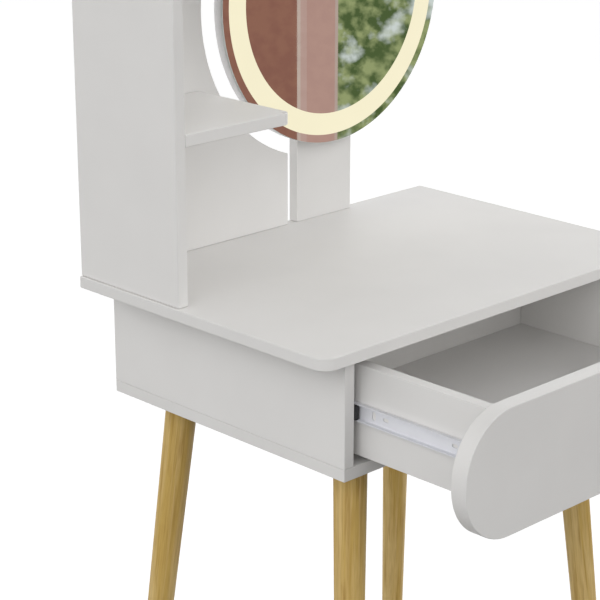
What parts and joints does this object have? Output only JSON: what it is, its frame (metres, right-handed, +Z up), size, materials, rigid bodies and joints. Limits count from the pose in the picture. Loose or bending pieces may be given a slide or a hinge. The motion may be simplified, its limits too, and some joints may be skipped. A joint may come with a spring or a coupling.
{
  "type": "vanity table with mirror",
  "caption": "Dressing table on splayed wooden legs, with a round lit mirror on a post, an open side hutch and a wide drawer on ball-bearing slides.",
  "frame": {"origin": "on the floor, midway across the width and midway between the open drawer's face and the table's back edge", "axes": "+Z up, +X to the right of someone sitting at the table, -Y towards them, so the drawer opens along -Y"},
  "size_m": [0.62, 0.6284, 1.2525],
  "materials": {
    "laminate": "matt warm off-white melamine board",
    "face_laminate": "matt warm off-white melamine board",
    "drawer_base": "thin off-white laminated hardboard",
    "leg_wood": "clear satin lacquer over pale pine",
    "zinc_steel": "zinc-plated rolled steel",
    "cage_steel": "plated ball cage",
    "screw_steel": "dark zinc-plated fasteners",
    "cam_zinc": "die-cast zinc",
    "aluminium": "satin silver rim",
    "mirror": "silvered glass with a frosted ring",
    "frosted": "frosted, lit warm white",
    "led_strip": "white flexible light strip",
    "black_plastic": "moulded",
    "bumper": "soft clear bumper",
    "glide": "brown felt glide"
  },
  "bodies": {
    "table": {"case_back": "laminate", "case_bottom": "laminate", "case_side_left": "laminate", "case_side_right": "laminate", "foot_glide_front_left": "glide", "foot_glide_front_right": "glide", "foot_glide_rear_left": "glide", "foot_glide_rear_right": "glide", "hutch_back": "laminate", "hutch_shelf_middle": "laminate", "hutch_shelf_top": "laminate", "hutch_side_left": "laminate", "led_driver": "black_plastic", "led_strip": "led_strip", "leg_bolt_front_left": "screw_steel", "leg_bolt_front_right": "screw_steel", "leg_bolt_rear_left": "screw_steel", "leg_bolt_rear_right": "screw_steel", "leg_front_left": "leg_wood", "leg_front_right": "leg_wood", "leg_plate_front_left": "zinc_steel", "leg_plate_front_right": "zinc_steel", "leg_plate_rear_left": "zinc_steel", "leg_plate_rear_right": "zinc_steel", "leg_rear_left": "leg_wood", "leg_rear_right": "leg_wood", "light_diffuser": "frosted", "mirror_glass": "mirror", "mirror_housing": "aluminium", "mirror_post": "laminate", "mirror_screw_1": "screw_steel", "mirror_screw_2": "screw_steel", "mirror_screw_3": "screw_steel", "mirror_screw_4": "screw_steel", "power_inlet": "black_plastic", "slide_outer_left": "zinc_steel", "slide_outer_right": "zinc_steel", "standing_screw_1": "screw_steel", "standing_screw_2": "screw_steel", "standing_screw_3": "screw_steel", "standing_screw_4": "screw_steel", "tabletop": "laminate", "touch_sensor": "black_plastic"},
    "drawer": {"drawer_back": "laminate", "drawer_bottom": "drawer_base", "drawer_bumper_left": "bumper", "drawer_bumper_right": "bumper", "drawer_cam_left_1": "cam_zinc", "drawer_cam_left_2": "cam_zinc", "drawer_cam_right_1": "cam_zinc", "drawer_cam_right_2": "cam_zinc", "drawer_front": "face_laminate", "drawer_side_left": "laminate", "drawer_side_right": "laminate", "slide_inner_left": "zinc_steel", "slide_inner_right": "zinc_steel"},
    "cage_left": {"slide_cage_left": "cage_steel"},
    "cage_right": {"slide_cage_right": "cage_steel"}
  },
  "joints": [
    {"name": "drawer_slide", "type": "slide", "parent": "table", "child": "drawer", "axis": [0, -1, 0], "range_m": [-0.198, 0.055]},
    {"name": "cage_left_roll", "type": "slide", "parent": "table", "child": "cage_left", "axis": [0, -1, 0], "range_m": [-0.099, 0.0275]},
    {"name": "cage_right_roll", "type": "slide", "parent": "table", "child": "cage_right", "axis": [0, -1, 0], "range_m": [-0.099, 0.0275]}
  ],
  "couplings": [
    {"joint": "cage_left_roll", "follows": "drawer_slide", "ratio": 0.5},
    {"joint": "cage_right_roll", "follows": "drawer_slide", "ratio": 0.5}
  ]
}
